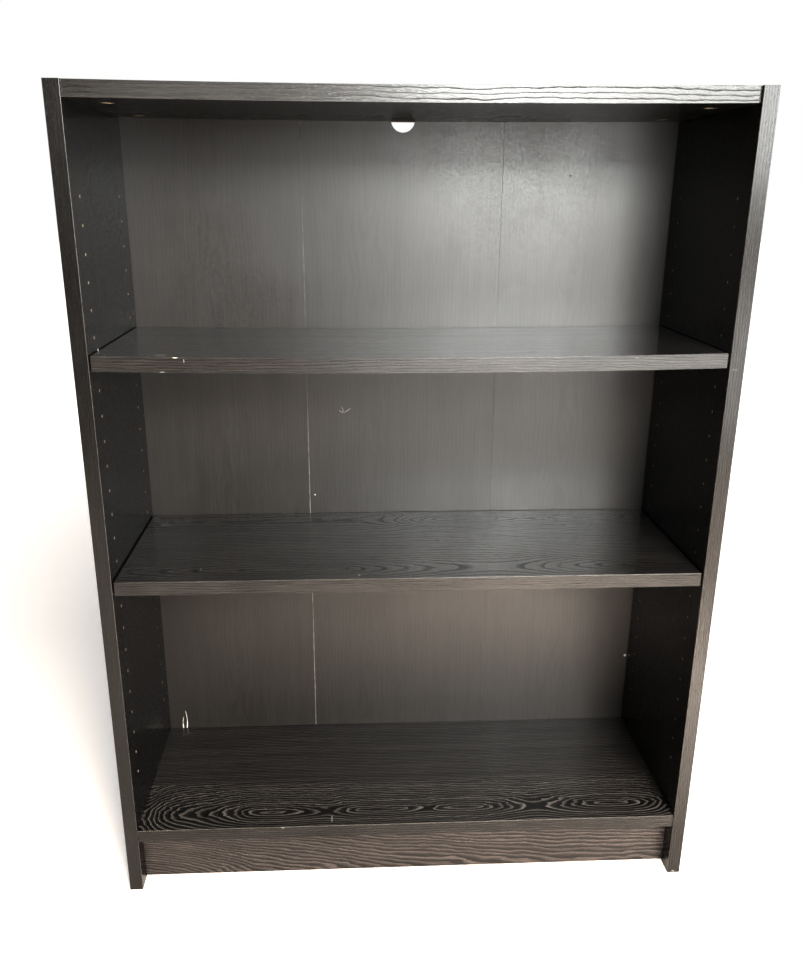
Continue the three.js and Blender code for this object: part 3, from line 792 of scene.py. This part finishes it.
def rear_tape(x, draw):
    """Gummed paper over a fold, on the rear of the back."""

    def build(shape):
        skin = BACK_REAR + 0.02 * MM
        low, high = BACK_LOW + TAPE_FROM_ENDS, BACK_HIGH - TAPE_FROM_ENDS
        rows, columns = 120, 8
        sections = []
        for row in range(rows + 1):
            z = low + (high - low) * row / rows
            left = x - TAPE_WIDTH / 2 + draw.uniform(-TAPE_WANDER, TAPE_WANDER)
            right = x + TAPE_WIDTH / 2 + draw.uniform(-TAPE_WANDER, TAPE_WANDER)
            outer = []
            for column in range(columns + 1):
                swell = (0.14 + 0.06 * draw.random()) * MM
                outer.append((left + (right - left) * column / columns, skin + swell, z))
            sections.append([(left, skin, z), *outer, (right, skin, z)])
        loft(shape, sections)
    return build


def torn_sliver(foot, height, width, lean, bow):
    """A torn curl of foil standing at the foot of the back."""

    def build(shape):
        rows = 14
        thick = 0.25 * MM
        sections = []
        for row in range(rows + 1):
            part = row / rows
            taper = 1 - 0.75 * part ** 2
            half = width / 2 * taper * (0.8 + 0.2 * math.sin(9 * part))
            bend = math.sin(math.pi * part)
            middle = foot + Vector((lean * part + bow * bend, -0.8 * MM - 1.2 * MM * bend, height * part))
            curl = 0.5 * MM * math.sin(2.4 * part)
            sections.append([
                middle + Vector((-half, curl, 0)), middle + Vector((0, -0.3 * MM, 0)),
                middle + Vector((half, curl, 0)), middle + Vector((half, curl + thick, 0)),
                middle + Vector((0, thick - 0.3 * MM, 0)), middle + Vector((-half, curl + thick, 0)),
            ])
        loft(shape, sections)
    return build


CAM_DRUM = 7.25 * MM
CAM_LIP = 0.35 * MM
CAM_SIDES = 64
CROSS_ARM = 0.9 * MM  # half the width of the cross recess's arms
CROSS_REACH = 4.6 * MM
CROSS_DEPTH = 2.2 * MM


def circle_points(centre, radius, z):
    turn = 2 * math.pi / CAM_SIDES
    return [(centre.x + radius * math.cos(turn * index), centre.y + radius * math.sin(turn * index), z)
            for index in range(CAM_SIDES)]


def cross_points(centre, facing, z):
    """The outline of a cross whose first arm points to the angle facing."""
    corner = [(CROSS_REACH, CROSS_ARM), (CROSS_ARM, CROSS_ARM), (CROSS_ARM, CROSS_REACH)]
    points = []
    for quarter in range(4):
        turn = facing + quarter * math.pi / 2
        for a, b in corner:
            points.append((centre.x + math.cos(turn) * a - math.sin(turn) * b,
                           centre.y + math.sin(turn) * a + math.cos(turn) * b, z))
    return points


def cam_drum(centre, facing, face_z, depth):
    """A zinc cam: a bevelled drum with a cross recess in its face, which looks down."""

    def build(shape):
        rim = add_ring(shape, circle_points(centre, CAM_DRUM - CAM_LIP, face_z))
        outer = add_ring(shape, circle_points(centre, CAM_DRUM, face_z + CAM_LIP))
        end = add_ring(shape, circle_points(centre, CAM_DRUM, face_z + depth))
        mouth = add_ring(shape, cross_points(centre, facing, face_z))
        well = add_ring(shape, cross_points(centre, facing, face_z + CROSS_DEPTH))
        add_wall(shape, rim, outer)
        add_wall(shape, outer, end)
        add_wall(shape, mouth, well)
        shape.faces.new(end)
        shape.faces.new(well)
        edges = []
        for loop in (rim, mouth):
            for index, vertex in enumerate(loop):
                edges.append(shape.edges.get((vertex, loop[(index + 1) % len(loop)])))
        bmesh.ops.triangle_fill(shape, use_beauty=True, edges=edges)

    return build


FOLD_MARKS = [Mark((-140, 125, 1024), (3, 3, 9), (0.01, 0.01, 0.01))]


def left_fold_material():
    graph, look = plain_look("fold_paper_light", (0.25, 0.225, 0.20), (0.10, 0.090, 0.080), (6, 1, 16), 0.75)
    raised = graph.spread(graph.at[2], 440, 800, 0.0, 0.6)  # the upper half is darker
    look.colour = graph.mix(raised, look.colour, (0.03, 0.028, 0.026))
    return graph.shader(add_marks(graph, look, FOLD_MARKS), PAPER_BUMP)


def paper_material(name, light, dark, grain_size, rough):
    graph, look = plain_look(name, light, dark, grain_size, rough)
    return graph.shader(look, PAPER_BUMP)


def add_folds():
    draw = random.Random(140)
    light = left_fold_material()
    dark = paper_material("fold_paper_dark", (0.060, 0.055, 0.050), (0.018, 0.016, 0.015), (6, 1, 14), 0.42)
    add_piece("back_fold_left", fold_strip(-FOLD_X, 1.0 * MM, draw), light)
    add_piece("back_fold_right", fold_strip(FOLD_X, 0.6 * MM, draw), dark)
    tape = paper_material("gummed_tape", (0.34, 0.23, 0.13), (0.24, 0.155, 0.085), (30, 1, 60), 0.5)
    add_piece("back_tape_left", rear_tape(-FOLD_X, draw), tape)
    add_piece("back_tape_right", rear_tape(FOLD_X, draw), tape)


def add_slivers():
    paper = paper_material("torn_foil_core", (0.80, 0.75, 0.67), (0.52, 0.46, 0.38), (1, 1, 3), 0.8)
    foot_height = BOTTOM_TOP + 0.2 * MM
    tall = Vector((-355.5 * MM, BACK_FRONT, foot_height))
    short = Vector((-361.5 * MM, BACK_FRONT, foot_height))
    add_piece("torn_sliver_tall", torn_sliver(tall, 32 * MM, 2.1 * MM, -1.0 * MM, 1.8 * MM),
              paper)
    add_piece("torn_sliver_short", torn_sliver(short, 21 * MM, 2.1 * MM, 1.4 * MM, -0.8 * MM),
              paper)


def add_cams():
    zinc = NODES["cam_lock_top_front_left"].data.materials[0]
    draw = random.Random(15)
    for name in sorted(NODES):
        if not name.startswith("cam_lock"):
            continue
        low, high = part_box(name)
        drum = cam_drum((low + high) / 2, draw.uniform(0, math.pi / 2), low.z, high.z - low.z)
        lock = add_piece(name.replace("cam_lock", "cam_drum"), drum, zinc)
        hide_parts(name)


add_folds()
add_slivers()
add_cams()

# ------------------------------------------------------------------ stage, light and picture

WINDOW_FAR = -2.5  # the window's plane, in front of the bookcase
CEILING_PLACE = Vector((0.9, -1.3, 2.6))  # a softbox that looks straight down
CEILING_SIZE = 1.2
CEILING_RADIANCE = 18
POOL_PLACE = Vector((0.40, -0.85, 1.5))  # a gridded box that lights only a patch of floor
POOL_SIZE = 0.5
POOL_RADIANCE = 32
POOL_SPREAD = math.radians(45)
# each pane: left, right, low, high in metres, and its radiance where white is 1
WINDOW_PANES = {
    "sill_left": (-0.10, 0.50, 0.05, 0.60, 5),
    "sill_right": (0.50, 1.80, 0.05, 0.60, 7),
    "window_low": (0.25, 1.00, 0.60, 1.10, 24),
    "window_edge": (-0.05, 0.20, 1.10, 1.50, 7),
    "window_middle": (0.20, 1.15, 1.10, 1.50, 17),
    "window_right": (1.15, 1.80, 1.00, 1.60, 21),
    "window_high": (0.30, 1.10, 1.50, 2.00, 118),
    "window_top": (0.30, 1.10, 2.00, 2.80, 58),
    "dim_wall": (-0.90, -0.05, 1.10, 1.50, 2.8),
}
REAR_PLACE = Vector((-1.6, 2.6, 2.0))  # a fill light behind the bookcase
REAR_SIZE = 2.0
REAR_RADIANCE = 2.0
MIDDLE = Vector((0, 0, 0.53))  # of the bookcase
ROOM_LIGHT = 0.02
DAYLIGHT = (0.98, 1.0, 0.985)
WARM_ROOM = (1.0, 0.82, 0.68)
COOL_ROOM = (0.95, 1.0, 1.0)
FLOOR_COLOUR = (0.76, 0.65, 0.57, 1)
FLOOR_REACH = 20
FLOOR_GLOW = 0.55  # what the camera sees over the floor's own light, near the bookcase
WHITE_GLOW = 1.2  # and far from it
GLOW_SPAN = (1.0, 4.0)  # metres from the middle over which the one turns into the other


def add_softbox(name, place, size, radiance, colour, aim, spread=math.pi):
    """A rectangular area light that isn't seen itself."""
    data = bpy.data.lights.new(name, "AREA")
    data.shape = "RECTANGLE"
    data.size, data.size_y = size
    data.energy = radiance * math.pi * size[0] * size[1]
    data.color = colour
    data.spread = spread
    light = bpy.data.objects.new(name, data)
    light.location = place
    light.rotation_euler = (aim - place).to_track_quat("-Z", "Y").to_euler()
    light.visible_camera = False
    bpy.context.scene.collection.objects.link(light)


def add_window():
    for name, (left, right, low, high, radiance) in WINDOW_PANES.items():
        place = Vector(((left + right) / 2, WINDOW_FAR, (low + high) / 2))
        size = (right - left, high - low)
        add_softbox(name, place, size, radiance, DAYLIGHT, place + Vector((0, 1, 0)))


def add_down_light(name, place, side, radiance, spread=math.pi):
    straight_down = Vector((place.x, place.y, 0))
    add_softbox(name, place, (side, side), radiance, DAYLIGHT, straight_down, spread)


def add_world():
    """A white surround for the camera, and a dim room, warm below and cool above, for the light."""
    world = bpy.data.worlds.new("studio")
    bpy.context.scene.world = world
    graph = Graph(world)
    coordinates = graph.add("TexCoord")
    height = graph.spread(graph.split(coordinates.outputs["Generated"])[2], -0.3, 0.5)
    room = graph.add("Background", {0: graph.mix(height, WARM_ROOM, COOL_ROOM), 1: ROOM_LIGHT})
    white = graph.add("Background", {0: (1, 1, 1, 1), 1: 1.0})
    seen = graph.add("LightPath").outputs["Is Camera Ray"]
    both = graph.add("MixShader", {0: seen, 1: room.outputs[0], 2: white.outputs[0]})
    graph.add("OutputWorld", {0: both.outputs[0]})


def add_floor():
    """A pale floor that brightens to the white of the surround, so that no horizon shows."""
    corners = [(-FLOOR_REACH, -FLOOR_REACH, 0), (FLOOR_REACH, -FLOOR_REACH, 0),
               (FLOOR_REACH, FLOOR_REACH, 0), (-FLOOR_REACH, FLOOR_REACH, 0)]
    mesh = bpy.data.meshes.new("floor")
    mesh.from_pydata(corners, [], [(0, 1, 2, 3)])
    floor = bpy.data.objects.new("floor", mesh)
    bpy.context.scene.collection.objects.link(floor)
    material = bpy.data.materials.new("pale_floor")
    graph = Graph(material)
    place = graph.add("TexCoord").outputs["Object"]
    away = graph.length(place)
    lift = graph.spread(away, *GLOW_SPAN, FLOOR_GLOW, WHITE_GLOW)
    seen = graph.add("LightPath").outputs["Is Camera Ray"]
    matt = graph.add("BsdfDiffuse", {0: FLOOR_COLOUR})
    glow = graph.add("Emission", {1: graph.math("MULTIPLY", lift, seen)})
    both = graph.add("AddShader", {0: matt.outputs[0], 1: glow.outputs[0]})
    graph.add("OutputMaterial", {0: both.outputs[0]})
    mesh.materials.append(material)


add_window()
add_down_light("ceiling_softbox", CEILING_PLACE, CEILING_SIZE, CEILING_RADIANCE)
add_down_light("floor_pool", POOL_PLACE, POOL_SIZE, POOL_RADIANCE, POOL_SPREAD)
add_softbox("rear_softbox", REAR_PLACE, (REAR_SIZE, REAR_SIZE), REAR_RADIANCE, DAYLIGHT, MIDDLE)
add_world()
add_floor()
bpy.context.scene.view_settings.view_transform = "Standard"
bpy.context.scene.view_settings.gamma = 0.8
